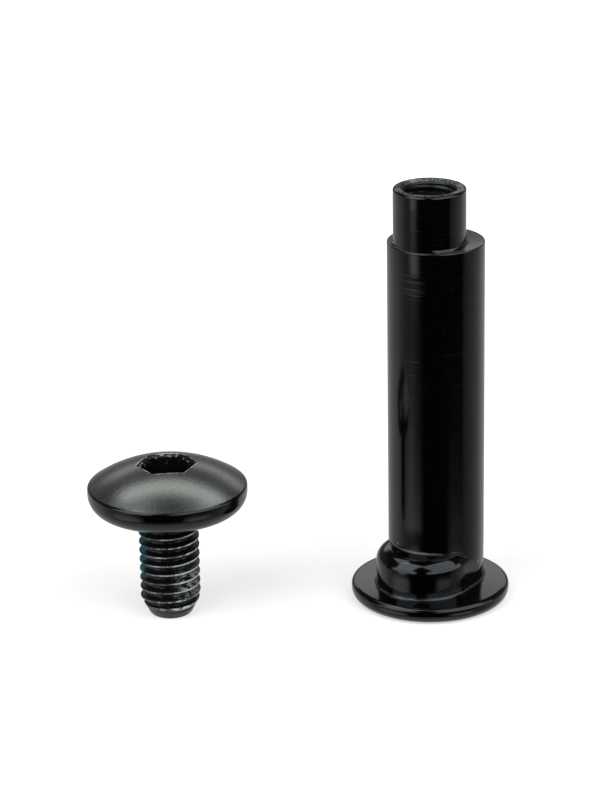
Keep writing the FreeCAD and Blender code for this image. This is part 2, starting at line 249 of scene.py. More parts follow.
class Rings:
    """The closed curves of a turned surface, from its first pole to its last."""

    def __init__(self, angles):
        self.angles = angles
        self.reaches = []
        self.heights = []
        self.finishes = []
        self.finish = 0

    def add(self, reach, height):
        self.reaches.append(np.broadcast_to(np.asarray(reach, float), self.angles.shape))
        self.heights.append(np.broadcast_to(np.asarray(height, float), self.angles.shape))
        self.finishes.append(self.finish)

    def mesh(self, name, axis, first, last):
        """Points at axis + reach (cos, sin) and height, closed by a fan at each pole."""
        reach, height = np.array(self.reaches), np.array(self.heights)
        grid = np.stack(
            [axis[0] + reach * np.cos(self.angles), axis[1] + reach * np.sin(self.angles), height],
            axis=-1,
        )
        count, rings = len(self.angles), len(reach)
        points = np.concatenate([[(*axis, first)], grid.reshape(-1, 3), [(*axis, last)]])
        column = np.arange(count)
        after = np.roll(column, -1)
        start = 1 + count * np.arange(rings - 1)[:, None]
        quads = np.stack(
            [start + column, start + after, start + count + after, start + count + column], axis=-1
        ).reshape(-1, 4)
        foot = np.stack([np.zeros(count, int), 1 + after, 1 + column], axis=-1)
        top_start = 1 + count * (rings - 1)
        top = np.stack(
            [top_start + column, top_start + after, np.full(count, len(points) - 1)], axis=-1
        )
        corners = np.concatenate([foot.ravel(), quads.ravel(), top.ravel()])
        sides = np.concatenate([np.full(count, 3), np.full(len(quads), 4), np.full(count, 3)])
        finish = np.array(self.finishes)
        slots = np.concatenate(
            [np.full(count, finish[0]), np.repeat(finish[1:], count), np.full(count, finish[-1])]
        )
        made = bpy.data.meshes.new(name)
        made.vertices.add(len(points))
        made.vertices.foreach_set("co", points.ravel())
        made.loops.add(len(corners))
        made.loops.foreach_set("vertex_index", corners)
        made.polygons.add(len(sides))
        made.polygons.foreach_set("loop_start", np.cumsum(sides) - sides)
        made.polygons.foreach_set("material_index", slots)
        made.polygons.foreach_set("use_smooth", np.ones(len(sides), bool))
        made.update(calc_edges=True)
        made.validate()
        made.set_sharp_from_angle(angle=SHARP_EDGE)
        return made


def quarter_turn(steps):
    """Sine and cosine pairs from 0 to 90 degrees."""
    return [(math.sin(t), math.cos(t)) for t in np.linspace(0, QUARTER, steps)]


GLOSS, TURNED_END, BORE = range(3)


def sleeve_rings(s):
    """Outline of the sleeve at each height, about the head's axis.

    Each ring is the furthest of the outlines there: the head's circle, the slot of the key, the
    offset circle of the barrel and the spigot's circle. Rounds are quarter circles of the outline's
    own inset. The bore's rings follow on them, down the inside.
    """
    rings = Rings(np.arange(COLUMNS) * 2 * math.pi / COLUMNS)
    angles = rings.angles

    def barrel(radius):
        return circle_reach(angles, radius, s.barrel_offset, s.turn)

    def key(radius):
        return slot_reach(angles, radius, s.barrel_offset, s.turn)

    head = s.head_diameter / 2
    seat = s.head_thickness
    barrel_radius = s.barrel_diameter / 2
    key_top = seat + s.key_height
    ledge = key_top + s.barrel_length
    end = ledge + s.spigot_length
    # Two of the rounds stop this much short of the edge that follows
    gap = 0.02 * MM

    rings.finish = GLOSS
    for share in (0.3, 0.6, 0.8, 0.95):
        rings.add((head - s.head_lower_round) * share, 0)
    for sine, cosine in quarter_turn(14):
        rings.add(head - s.head_lower_round * (1 - sine), s.head_lower_round * (1 - cosine))
    for sine, cosine in quarter_turn(10):
        rings.add(head - s.head_upper_round * (1 - cosine), seat - s.head_upper_round * (1 - sine))

    def foot(height):
        widening = (barrel_radius - s.key_radius) * 2
        return barrel(barrel_radius - widening * (1 - (height - seat) / s.key_height))

    for sine, cosine in quarter_turn(8):
        height = seat + s.key_root_round * (1 - cosine)
        outline = key(s.key_radius + s.key_root_round * (1 - sine))
        rings.add(np.maximum(outline, foot(height)), height)
    wall_top = key_top - s.key_edge_round
    for share in (0.25, 0.5, 0.75):
        height = seat + s.key_root_round + share * (wall_top - seat - s.key_root_round)
        rings.add(np.maximum(key(s.key_radius), foot(height)), height)
    for sine, cosine in quarter_turn(16):
        height = wall_top + (s.key_edge_round - gap) * sine
        outline = key(s.key_radius - s.key_edge_round * (1 - cosine))
        rings.add(np.maximum(outline, foot(height)), height)
    shelf = np.maximum(key(s.key_radius - s.key_edge_round), barrel(barrel_radius))
    for sine, cosine in quarter_turn(7):
        root = barrel(barrel_radius + s.barrel_root_round * (1 - sine))
        rings.add(np.minimum(root, shelf), key_top + s.barrel_root_round * (1 - cosine))

    low, high = key_top + s.barrel_root_round, ledge - s.barrel_edge_round
    for share in np.linspace(0.08, 0.92, 8):
        rings.add(barrel(barrel_radius), low + share * (high - low))
    for sine, cosine in quarter_turn(6):
        outline = barrel(barrel_radius - s.barrel_edge_round * (1 - cosine))
        height = ledge - s.barrel_edge_round + (s.barrel_edge_round - gap / 2) * sine
        rings.add(np.maximum(outline, s.spigot_radius), height)
    trim = np.maximum(barrel(barrel_radius - s.barrel_edge_round), s.spigot_radius)
    for sine, cosine in quarter_turn(9):
        root = s.spigot_radius + s.spigot_root_round * (1 - sine)
        rings.add(np.minimum(root, trim), ledge + s.spigot_root_round * (1 - cosine))
    low, high = ledge + s.spigot_root_round, end - s.spigot_end_round
    for share in (0.25, 0.5, 0.75):
        rings.add(s.spigot_radius, low + share * (high - low))
    for sine, cosine in quarter_turn(8):
        rings.add(
            s.spigot_radius - s.spigot_end_round * (1 - cosine),
            end - s.spigot_end_round * (1 - sine),
        )

    rings.finish = TURNED_END
    mouth = s.bore_radius + s.bore_mouth
    flat = s.spigot_radius - s.spigot_end_round
    rings.add((mouth + flat) / 2, end)
    rings.add(mouth, end)
    rings.add(mouth - s.bore_mouth / 2, end - s.bore_mouth / 2)

    rings.finish = BORE
    return rings, tapped_bore(rings, s, end)


def tapped_bore(rings, s, end):
    """Rings down the bore, which end in a drill cone. Returns the height of the cone's point.

    The groove is its depth times 1 less the thread form at height / pitch - angle / full turn, and
    fades out near the mouth and the floor. Its steps are finer where the mouth lets it be seen.
    """
    floor = end - s.bore_depth
    seen, last = end - 2.8 * MM, floor + 0.4 * MM
    fine_step, coarse_step = 0.05 * MM, 0.1 * MM
    mouth_plain, mouth_full = end - 0.2 * MM, end - 0.8 * MM
    floor_plain, floor_full = floor + 0.6 * MM, floor + 1.6 * MM
    fine = np.arange(end - s.bore_mouth, seen, -fine_step)
    coarse = np.arange(seen, last, -coarse_step)
    for height in np.concatenate([fine, coarse]):
        fade = smooth_step(mouth_plain, mouth_full, height)
        fade *= smooth_step(floor_plain, floor_full, height)
        groove = 1 - thread_form(height / s.thread_pitch - rings.angles / (2 * math.pi))
        rings.add(s.bore_radius + s.groove_depth * fade * groove, height)
    rings.add(s.bore_radius, floor)
    drill = s.bore_radius / math.tan(DRILL_HALF_ANGLE)
    rings.add(s.bore_radius / 2, floor - drill / 2)
    return floor - drill


THREAD, RIM, DOME, SOCKET, MOUTH = range(5)


def screw_rings(s):
    """Outline of the screw at each height, about its own axis.

    The thread's ring is its root plus depth times the thread form at height / pitch - angle / full
    turn, and no wider than the tip's and the neck's cones. The dome's rings go from the rim's
    circle to the socket's hexagon in equal steps, at the height of the dome's sphere there.
    """
    rings = Rings(s.hex_turn + np.arange(COLUMNS) * 2 * math.pi / COLUMNS)
    angles = rings.angles

    def hexagon(apothem):
        return hex_reach(angles, apothem, s.hex_turn)

    seat = s.shank_length
    root = s.thread_radius - s.thread_depth
    neck_top = seat - s.neck_top
    neck_foot = neck_top - s.neck_length

    rings.finish = THREAD
    edge = 0.12 * MM
    rings.add(s.tip_radius * 0.5, 0)
    for sine, cosine in quarter_turn(5):
        rings.add(s.tip_radius - edge * (1 - sine), edge * (1 - cosine))
    taper = (s.thread_radius - s.tip_radius) / s.tip_length
    first, step = edge + 0.04 * MM, 0.045 * MM
    for height in np.arange(first, neck_foot, step):
        phase = height / s.thread_pitch - angles / (2 * math.pi)
        thread = root + s.thread_depth * thread_form(phase)
        tip_cone = s.tip_radius + taper * height
        neck_cone = root + (neck_foot - height)
        rings.add(np.minimum(thread, min(tip_cone, neck_cone)), height)
    for sine, cosine in quarter_turn(9):
        rings.add(root + s.neck_top * (1 - cosine), neck_top + s.neck_top * sine)

    rings.finish = RIM
    flat = s.cap_radius - s.cap_lower_round
    rings.add((root + s.neck_top + flat) / 2, seat)
    for sine, cosine in quarter_turn(18):
        rings.add(flat + s.cap_lower_round * sine, seat + s.cap_lower_round * (1 - cosine))

    foot = s.cap_radius - s.cap_edge_round
    top = seat + s.cap_rim_height + s.dome_rise
    sphere = (foot * foot / s.dome_rise + s.dome_rise) / 2
    middle = top - sphere
    inner = sphere - s.cap_edge_round
    edge_height = middle + math.sqrt(inner**2 - foot**2)
    tilt = math.atan2(edge_height - middle, foot)
    for t in np.linspace(0, tilt, 8):
        rings.add(foot + s.cap_edge_round * math.cos(t), edge_height + s.cap_edge_round * math.sin(t))

    rings.finish = DOME
    apothem = s.hex_flats / 2
    corner = apothem / math.cos(math.pi / 6)
    bevel = s.hex_bevel + corner * corner / sphere / 2
    bevel_foot = top - bevel
    outer = hexagon(apothem + s.hex_bevel)
    # The bevel's outer edge and the dome's height there depend on one another, so they settle in turns
    for _ in range(30):
        height = middle + np.sqrt(sphere**2 - outer**2)
        outer = hexagon(apothem + height - bevel_foot)
    rim = foot * sphere / inner
    for share in np.linspace(0.03, 0.985, 18):
        reach = rim + (outer - rim) * share
        rings.add(reach, middle + np.sqrt(sphere**2 - reach**2))

    rings.finish = MOUTH
    rings.add(outer, height)
    wall = hexagon(apothem)
    lip = 0.14
    rings.add(outer + (wall - outer) * lip, height + (bevel_foot - height) * lip)
    rings.finish = SOCKET
    for share in (0.5, 1):
        rings.add(outer + (wall - outer) * share, height + (bevel_foot - height) * share)
    floor = top - s.hex_depth
    for share in (0.3, 0.6, 0.95):
        rings.add(wall, bevel_foot + (floor - bevel_foot) * share)
    gap, inset = 0.01 * MM, 0.05 * MM
    rings.add(wall - gap, floor)
    rings.add(apothem - inset, floor - gap)
    drill = apothem / math.tan(DRILL_HALF_ANGLE)
    rings.add(apothem / 2, floor - drill / 2)
    return rings, floor - drill


# Finishes

FLOAT, VECTOR = "NodeSocketFloat", "NodeSocketVector"
WHITE = (1.0, 1.0, 1.0, 1.0)
# Places on the sleeve: turns from +X, and millimetres below the ledge, over the key's top and over
# the head's seat
RUBBED_TURN, SHELF_TURN = -0.325, -0.336
RUBBED_DROP, TOP_HIGHLIGHT_RISE, ROOT_HIGHLIGHT_RISE = 2.52, 0.10, 0.14
# Places on the screw: turns from +X, and millimetres over the tip and below the dome's top
LIT_SIDE_TURN, SMEAR_TURN, PATCH_TURN = -0.12, -0.10, 0.400
SMEAR_HEIGHT, PATCH_FOOT = 3.2, 3.0
GLINTS_START, GLINTS_FULL = 1.25, 0.5


class Wiring:
    """Adds nodes to one node tree, with their inputs set or linked."""

    def __init__(self, tree):
        self.tree = tree

    def node(self, kind, inputs=None, **settings):
        made = self.tree.nodes.new(kind)
        for name, value in settings.items():
            setattr(made, name, value)
        for key, value in (inputs or {}).items():
            self.give(made.inputs[key], value)
        return made

    def give(self, socket, value):
        if isinstance(value, bpy.types.NodeSocket):
            self.tree.links.new(value, socket)
        else:
            socket.default_value = value

    def math(self, operation, *values):
        made = self.node("ShaderNodeMath", dict(enumerate(values)), operation=operation)
        return made.outputs[0]

    def times(self, one, other):
        return self.math("MULTIPLY", one, other)

    def blend(self, factor, one, other, blend_type="MIX"):
        made = self.node(
            "ShaderNodeMix", {0: factor, 6: one, 7: other}, data_type="RGBA", blend_type=blend_type
        )
        return made.outputs[2]

    def between(self, factor, one, other):
        made = self.node("ShaderNodeMix", {0: factor, 2: one, 3: other}, data_type="FLOAT")
        return made.outputs[0]

    def step(self, value, low, high, to_low=0.0, to_high=1.0):
        made = self.node(
            "ShaderNodeMapRange",
            {0: value, 1: low, 2: high, 3: to_low, 4: to_high},
            interpolation_type="SMOOTHSTEP",
        )
        return made.outputs[0]

    def near(self, value, middle, inner, outer, outside=0.0):
        """1 within inner of the middle, falling to outside beyond outer."""
        away = self.math("ABSOLUTE", self.math("SUBTRACT", value, middle))
        return self.step(away, inner, outer, 1.0, outside)

    def noise(self, vector, scale, detail, roughness):
        inputs = {"Vector": vector, "Scale": scale, "Detail": detail, "Roughness": roughness}
        return self.node("ShaderNodeTexNoise", inputs).outputs["Fac"]

    def object_place(self):
        return self.node("ShaderNodeTexCoord").outputs["Object"]

    def split(self, vector):
        return self.node("ShaderNodeSeparateXYZ", {0: vector}).outputs

    def join(self, x, y, z):
        return self.node("ShaderNodeCombineXYZ", {0: x, 1: y, 2: z}).outputs[0]

    def bump(self, height, strength, distance, under=None):
        """Normal of a height that is distance millimetres high, laid over another normal."""
        inputs = {"Height": height, "Strength": strength, "Distance": distance * MM}
        if under is not None:
            inputs["Normal"] = under
        return self.node("ShaderNodeBump", inputs).outputs[0]

    def group(self, name, **inputs):
        """Outputs of a shared group. Its inputs' names are written with underscores for spaces."""
        made = self.node("ShaderNodeGroup", node_tree=shared(name))
        for key, value in inputs.items():
            self.give(made.inputs[key.replace("_", " ")], value)
        return made.outputs

    def place(self, axis):
        return self.group("place", Axis_X=axis[0], Axis_Y=axis[1])

    def grain(self, scale, detail=2.0, roughness=0.5):
        return self.group("grain", Scale=scale, Detail=detail, Roughness=roughness)["Grain"]

    def specks(self, scale, amount, strength):
        mask = self.group("specks", Scale=scale, Amount=amount)["Mask"]
        return self.times(mask, strength)


def node_group(name, inputs, outputs):
    """An empty shader group with named sockets, its wiring, its inputs and its outputs."""
    tree = bpy.data.node_groups.new(f"axle {name}", "ShaderNodeTree")
    for socket, kind, default in inputs:
        made = tree.interface.new_socket(name=socket, in_out="INPUT", socket_type=kind)
        made.default_value = default
    for socket, kind in outputs:
        tree.interface.new_socket(name=socket, in_out="OUTPUT", socket_type=kind)
    w = Wiring(tree)
    return w, w.node("NodeGroupInput").outputs, w.node("NodeGroupOutput").inputs


def finish_place():
    """Where a point lies round an upright axis: radius and height in millimetres, angle in turns."""
    w, given, result = node_group(
        "place",
        [("Axis X", FLOAT, 0.0), ("Axis Y", FLOAT, 0.0)],
        [("Radius", FLOAT), ("Height", FLOAT), ("Turn", FLOAT), ("Around", VECTOR)],
    )
    place = w.split(w.object_place())
    x = w.math("SUBTRACT", place[0], given["Axis X"])
    y = w.math("SUBTRACT", place[1], given["Axis Y"])
    radius = w.math("SQRT", w.math("ADD", w.times(x, x), w.times(y, y)))
    radius = w.times(radius, 1 / MM)
    height = w.times(place[2], 1 / MM)
    turn = w.times(w.math("ARCTAN2", y, x), 1 / (2 * math.pi))
    above_zero = w.math("MAXIMUM", radius, 0.001)
    around = w.join(
        w.math("DIVIDE", w.times(x, 1 / MM), above_zero),
        w.math("DIVIDE", w.times(y, 1 / MM), above_zero),
        height,
    )
    for name, value in (("Radius", radius), ("Height", height), ("Turn", turn), ("Around", around)):
        w.give(result[name], value)
    return w.tree


def finish_window():
    """1 inside a window of two values with soft sides, 0 outside."""
    w, given, result = node_group(
        "window",
        [("Value", FLOAT, 0.0), ("Low", FLOAT, 0.0), ("High", FLOAT, 1.0), ("Softness", FLOAT, 0.1)],
        [("Mask", FLOAT)],
    )
    value, low, high, soft = (given[name] for name in ("Value", "Low", "High", "Softness"))
    rise = w.step(value, w.math("SUBTRACT", low, soft), w.math("ADD", low, soft))
    fall = w.step(value, w.math("SUBTRACT", high, soft), w.math("ADD", high, soft), 1.0, 0.0)
    w.give(result["Mask"], w.times(rise, fall))
    return w.tree


def finish_grain():
    """Cloudy grain at the piece's own coordinates."""
    w, given, result = node_group(
        "grain",
        [("Scale", FLOAT, 1000.0), ("Detail", FLOAT, 2.0), ("Roughness", FLOAT, 0.5)],
        [("Grain", FLOAT)],
    )
    grain = w.noise(w.object_place(), given["Scale"], given["Detail"], given["Roughness"])
    w.give(result["Grain"], grain)
    return w.tree


def finish_specks():
    """Sparse bright grains of dust and chipped coat, in the cells whose lot is under the amount."""
    w, given, result = node_group(
        "specks", [("Scale", FLOAT, 900.0), ("Amount", FLOAT, 0.1)], [("Mask", FLOAT)]
    )
    inputs = {"Vector": w.object_place(), "Scale": given["Scale"]}
    cells = w.node("ShaderNodeTexVoronoi", inputs).outputs
    lot = w.node("ShaderNodeSeparateColor", {0: cells["Color"]}).outputs[0]
    chosen = w.math("LESS_THAN", lot, given["Amount"])
    grain = w.step(cells["Distance"], 0.10, 0.26, 1.0, 0.0)
    w.give(result["Mask"], w.times(chosen, grain))
    return w.tree


def finish_marks():
    """Rings that a cutting tool leaves round a turned wall, broken into short arcs."""
    w, given, result = node_group(
        "marks",
        [("Around", VECTOR, (0.0, 0.0, 0.0)), ("Fineness", FLOAT, 7.0), ("Arc Length", FLOAT, 1.0)],
        [("Mark", FLOAT)],
    )
    around = w.split(given["Around"])
    stretched = w.join(
        w.math("DIVIDE", around[0], given["Arc Length"]),
        w.math("DIVIDE", around[1], given["Arc Length"]),
        w.times(around[2], given["Fineness"]),
    )
    w.give(result["Mark"], w.noise(stretched, 1.0, 4.0, 0.62))
    return w.tree


def finish_streaks():
    """Fine lines that run out from an axis, as brushing leaves on a dome."""
    w, given, result = node_group(
        "streaks",
        [("Around", VECTOR, (0.0, 0.0, 0.0)), ("Radius", FLOAT, 1.0), ("Fineness", FLOAT, 30.0)],
        [("Streak", FLOAT)],
    )
    around = w.split(given["Around"])
    fanned = w.join(
        w.times(around[0], given["Fineness"]),
        w.times(around[1], given["Fineness"]),
        w.times(given["Radius"], 0.35),
    )
    w.give(result["Streak"], w.noise(fanned, 1.0, 3.0, 0.6))
    return w.tree


GROUPS = {
    "place": finish_place,
    "window": finish_window,
    "grain": finish_grain,
    "specks": finish_specks,
    "marks": finish_marks,
    "streaks": finish_streaks,
}


def shared(name):
    """A group that several finishes use, built the first time."""
    return bpy.data.node_groups.get(f"axle {name}") or GROUPS[name]()


def new_material(name, **plain):
    """A material whose shader gets its constants on its own sockets."""
    made = bpy.data.materials.new(name)
    made.use_nodes = True
    tree = made.node_tree
    tree.nodes.clear()
    w = Wiring(tree)
    shader = w.node("ShaderNodeBsdfPrincipled")
    for socket, value in plain.items():
        shader.inputs[socket.replace("_", " ")].default_value = value
    w.node("ShaderNodeOutputMaterial", {"Surface": shader.outputs[0]})
    return made, w, shader.inputs


def rgba(colour_value):
    return (*colour_value, 1.0)


def gloss_coat(s):
    """Deep black gloss over turned metal: fine rings, specks, a coat worn thin at the ledge, and painted
    highlights along the key's fillets.
    """
    made, w, shader = new_material("sleeve gloss black", Metallic=0.0)
    place = w.place((0.0, 0.0))
    height, turn = place["Height"], place["Turn"]
    seat = s.head_thickness / MM
    key_top = seat + s.key_height / MM
    ledge_top = key_top + s.barrel_length / MM

    marks = w.group("marks", Around=place["Around"], Fineness=13.0, Arc_Length=1.1)["Mark"]
    clusters = w.step(w.grain(110.0, 1.0), 0.52, 0.62)
    beside = w.near(turn, RUBBED_TURN, 0.025, 0.07)
    rubbed = w.times(beside, w.near(height, ledge_top - RUBBED_DROP, 0.7, 1.7))
    rings = w.math(
        "MAXIMUM",
        w.times(w.step(marks, 0.62, 0.70), clusters),
        w.times(w.step(marks, 0.52, 0.64), rubbed),
    )
    ledge = w.near(height, ledge_top, 0.02, 0.05)
    # Painted highlight: thin lighter bands along the key's junction with the barrel, on the shelf's side,
    # and along the key's root stand in for the light these fillets catch.
    shelf_side = w.near(turn, SHELF_TURN, 0.17, 0.21)
    top_fillet_highlight = w.times(w.near(height, key_top + TOP_HIGHLIGHT_RISE, 0.04, 0.09), shelf_side)
    root_fillet_highlight = w.times(w.near(height, seat + ROOT_HIGHLIGHT_RISE, 0.05, 0.12), 0.4)
    uneven = w.step(w.grain(700.0), 0.30, 0.52)
    fillet_highlights = w.times(w.math("MAXIMUM", top_fillet_highlight, root_fillet_highlight), uneven)

    tone = w.blend(rings, rgba(s.coat), rgba(s.ring))
    tone = w.blend(w.specks(5200.0, 0.14, 0.5), tone, rgba(s.dust))
    tone = w.blend(w.specks(1500.0, 0.006, 0.6), tone, rgba(s.speck))
    tone = w.blend(ledge, tone, rgba(s.ledge))
    tone = w.blend(fillet_highlights, tone, rgba(s.seam))
    w.give(shader["Base Color"], tone)
    rough = w.between(w.grain(260.0, 3.0), 0.08, 0.14)
    rough = w.between(rings, rough, 0.26)
    w.give(shader["Roughness"], w.between(ledge, rough, 0.20))
    ripple = w.bump(w.grain(420.0), 0.25, 0.02)
    w.give(shader["Normal"], w.bump(w.grain(6000.0), 0.4, 0.005, ripple))
    return made


def turned_end(s):
    """Rough turned metal with a thin black coat, brighter where the coat has worn."""
    made, w, shader = new_material("sleeve turned end", Metallic=0.5, Specular_IOR_Level=0.2)
    grain = w.grain(6500.0, 3.0, 0.7)
    patches = w.times(w.grain(1100.0), 0.4)
    worn = w.step(w.math("ADD", w.times(grain, 0.7), patches), 0.50, 0.66)
    w.give(shader["Base Color"], w.blend(worn, rgba(s.end_metal), rgba(s.bare_end)))
    w.give(shader["Roughness"], w.between(grain, 0.38, 0.62))
    w.give(shader["Normal"], w.bump(grain, 0.9, 0.04))
    return made


def bore_black(s):
    """Dark cut thread with a slight sheen."""
    made, w, shader = new_material("sleeve bore", Metallic=0.0)
    grain = w.grain(2400.0, 3.0)
    w.give(shader["Base Color"], w.blend(w.step(grain, 0.62, 0.75), rgba(s.coat), rgba(s.bore_fleck)))
    w.give(shader["Roughness"], w.between(grain, 0.28, 0.5))
    return made


def satin_dome(s):
    """Satin black with fine lines that run out from the socket."""
    made, w, shader = new_material("cap satin black", Metallic=0.0, IOR=2.0, Specular_IOR_Level=1.0)
    place = w.place(SCREW_AXIS)
    streaks = w.group(
        "streaks", Around=place["Around"], Radius=place["Radius"], Fineness=26.0
    )["Streak"]
    tone = w.blend(w.step(streaks, 0.45, 0.75), rgba(s.satin), rgba(s.streak))
    w.give(shader["Base Color"], w.blend(w.specks(1300.0, 0.01, 0.8), tone, rgba(s.dome_speck)))
    clouds = w.times(w.grain(300.0), 0.04)
    w.give(shader["Roughness"], w.math("ADD", w.step(streaks, 0.34, 0.70, 0.235, 0.260), clouds))
    brushed = w.bump(streaks, 0.10, 0.02)
    w.give(shader["Normal"], w.bump(w.grain(3000.0), 0.45, 0.016, brushed))
    return made


def gloss_rim(s):
    """Gloss black of the cap's rim and seat."""
    made, w, shader = new_material("cap rim gloss black", Metallic=0.0)
    w.give(shader["Base Color"], w.blend(w.specks(1100.0, 0.02, 0.75), rgba(s.rim), rgba(s.rim_speck)))
    w.give(shader["Roughness"], w.between(w.grain(320.0), 0.12, 0.20))
    w.give(shader["Normal"], w.bump(w.grain(500.0), 0.25, 0.02))
    return made


def socket_black(s):
    """Black hexagon socket, with bright specks near its mouth that are painted glints."""
    made, w, shader = new_material("cap socket", Metallic=0.0)
    top = (s.shank_length + s.cap_rim_height + s.dome_rise) / MM
    near_mouth = w.step(w.place(SCREW_AXIS)["Height"], top - GLINTS_START, top - GLINTS_FULL)
    grain = w.grain(3600.0, 3.0, 0.6)
    # Painted glints: bright specks laid into the socket's mouth.
    painted_glints = w.times(w.step(grain, 0.57, 0.64), near_mouth)
    w.give(shader["Base Color"], w.blend(painted_glints, rgba(s.socket), rgba(s.socket_glint)))
    w.give(shader["Roughness"], w.between(grain, 0.22, 0.42))
    w.give(shader["Normal"], w.bump(grain, 0.5, 0.04))
    return made


def socket_edge_highlight(s):
    """The socket's outer edge, painted with a light outline and bright spots: a painted highlight of the
    sharp edge catching light, laid on as a coat rubbed thin.
    """
    made, w, shader = new_material("cap socket edge", Metallic=0.4, Roughness=0.35)
    # Painted highlight: bright spots on a light outline, where the sharp edge catches light.
    rubbed = w.step(w.grain(900.0, 3.0, 0.6), 0.38, 0.60)
    w.give(shader["Base Color"], w.blend(rubbed, rgba(s.edge_highlight), rgba(s.edge_glint)))
    return made


def thread_wear_and_crest_highlight(s):
    """Black thread with bare crests that are painted brighter on the lit side as a painted highlight, a
    locking patch at the left and a dry smear at the right.

    Radii and heights are in millimetres, and angles in turns from +X.
    """
    made, w, shader = new_material("screw thread")
    place = w.place(SCREW_AXIS)
    radius, height, turn = place["Radius"], place["Height"], place["Turn"]
    grain = w.grain(1500.0, 4.0, 0.65)
    broad = w.grain(340.0)

    taper = (s.thread_radius - s.tip_radius) / s.tip_length
    tip_cone = w.math("ADD", w.times(height, taper), s.tip_radius / MM)
    crest_radius = w.math("MINIMUM", tip_cone, s.thread_radius / MM)
    crest = w.step(w.math("SUBTRACT", crest_radius, radius), 0.004, 0.026, 1.0, 0.0)
    # Painted highlight: the bright crest colour is strongest on the lit side and faint elsewhere, so it
    # stands in for light on the crests as well as for wear.
    along = w.times(w.step(height, 0.8, 1.1), w.step(height, 7.6, 8.5, 1.0, 0.25))
    lit_side = w.times(along, w.near(turn, LIT_SIDE_TURN, 0.06, 0.30, 0.12))
    rubbed = w.step(w.math("ADD", grain, w.times(broad, 0.7)), 0.74, 0.94, 0.10, 1.0)
    crest = w.times(w.times(crest, lit_side), rubbed)

    ragged = w.times(w.math("SUBTRACT", grain, 0.5), 0.16)
    patch = w.step(w.math("ADD", w.math("ABSOLUTE", turn), ragged), PATCH_TURN, PATCH_TURN + 0.03)
    patch = w.times(patch, w.step(height, PATCH_FOOT, PATCH_FOOT + 0.8))
    bare = w.times(crest, w.math("SUBTRACT", 1.0, patch))

    facing = w.math("ABSOLUTE", w.math("SUBTRACT", turn, SMEAR_TURN))
    smear = w.step(w.math("ADD", facing, ragged), 0.05, 0.13, 1.0, 0.0)
    level = w.math("ABSOLUTE", w.math("SUBTRACT", height, SMEAR_HEIGHT))
    smear = w.times(smear, w.step(w.math("ADD", level, broad), 1.2, 2.2, 1.0, 0.0))
    smear = w.times(smear, w.step(w.grain(2600.0, 3.0, 0.7), 0.46, 0.60))

    tip = w.times(w.step(height, 0.35, 0.75, 1.0, 0.0), 0.6)
    tone = w.blend(smear, rgba(s.thread), rgba(s.dust))
    tone = w.blend(tip, tone, rgba(s.tip))
    tone = w.blend(w.times(patch, 0.9), tone, rgba(s.patch))
    tone = w.blend(bare, tone, rgba(s.worn))
    tone = w.blend(w.specks(1700.0, 0.035, 0.6), tone, rgba(s.thread_speck))
    w.give(shader["Base Color"], tone)
    w.give(shader["Metallic"], w.times(bare, 0.85))
    dull = w.math("MAXIMUM", smear, patch)
    w.give(shader["Roughness"], w.between(dull, w.between(bare, 0.32, 0.36), 0.7))
    under = w.bump(grain, 0.7, 0.05)
    w.give(shader["Normal"], w.bump(w.grain(4200.0, 3.0, 0.6), 0.8, 0.02, under))
    return made


# Pieces


def link(name, data):
    """A new object in the scene, at the origin."""
    made = bpy.data.objects.new(name, data)
    bpy.context.scene.collection.objects.link(made)
    return made


def place_piece(name, mesh, materials, node):
    """Links a finished piece, which stands for one solid and rides with it."""
    made = link(name, mesh)
    for material in materials:
        mesh.materials.append(material)
    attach(made, "root")
    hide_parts(node)


class SKATEAXLE_OT_sleeve(bpy.types.Operator):
    """Builds the headed sleeve with its key, barrel, spigot and tapped bore"""

    bl_idname = "skateaxle.sleeve"
    bl_label = "Build Sleeve"

    def execute(self, context):
        s = context.scene.axle_sleeve
        rings, bottom = sleeve_rings(s)
        mesh = rings.mesh("sleeve", (0.0, 0.0), 0.0, bottom)
        materials = [gloss_coat(s), turned_end(s), bore_black(s)]
        place_piece("sleeve", mesh, materials, "axle_sleeve")
        return {"FINISHED"}


class SKATEAXLE_OT_screw(bpy.types.Operator):
    """Builds the domed screw with its hexagon socket and thread"""

    bl_idname = "skateaxle.screw"
    bl_label = "Build Screw"

    def execute(self, context):
        s = context.scene.axle_screw
        rings, bottom = screw_rings(s)
        mesh = rings.mesh("screw", SCREW_AXIS, 0.0, bottom)
        materials = [thread_wear_and_crest_highlight(s), gloss_rim(s), satin_dome(s), socket_black(s), socket_edge_highlight(s)]
        place_piece("screw", mesh, materials, "axle_screw")
        return {"FINISHED"}


# Stage, in metres

FLOOR_HALF = 1.5
FLOOR_DROP = 0.02 * MM
SENSOR_WIDTH = 36.0
LAMP_DISTANCE = 0.30
LAMP_TARGET = (-0.008, 0.0, 0.012)
# Lamps: share of their kind's brightness, degrees to the right of the camera's side, degrees up,
# width and height, and the pieces that one lights where it doesn't light all
SIDE_LAMPS = (
    ("left box", 1.3, -48, 45, 0.23, 0.30, ()),
    ("right box", 1.0, 53, 45, 0.36, 0.30, ()),
    ("shoulder box", 1.0, -106, 60, 0.17, 0.12, ("sleeve",)),
)
TOP_LAMPS = (
    ("back light", 1.7, 180, 64, 0.38, 0.09, ("screw",)),
    ("left arm", 0.35, -116, 60, 0.08, 0.17, ("screw",)),
    ("right arm", 0.35, 116, 60, 0.08, 0.17, ("screw",)),
)
# Brightness of the studio round the object: behind, left, front, right and behind again
ROUND_STOPS = (
    (0.0, 0.55), (0.15, 0.58), (0.22, 0.50), (0.28, 0.27), (0.34, 0.12), (0.42, 0.0),
    (0.675, 0.0), (0.70, 0.20), (0.80, 0.44), (0.87, 0.66), (1.0, 0.55),
)
# How much of that brightness is left, from straight down to straight up
UPWARD_STOPS = (
    (0.0, 1.0), (0.45, 1.0), (0.50, 0.30), (0.70, 0.20), (0.80, 0.06), (1.0, 0.03),
)
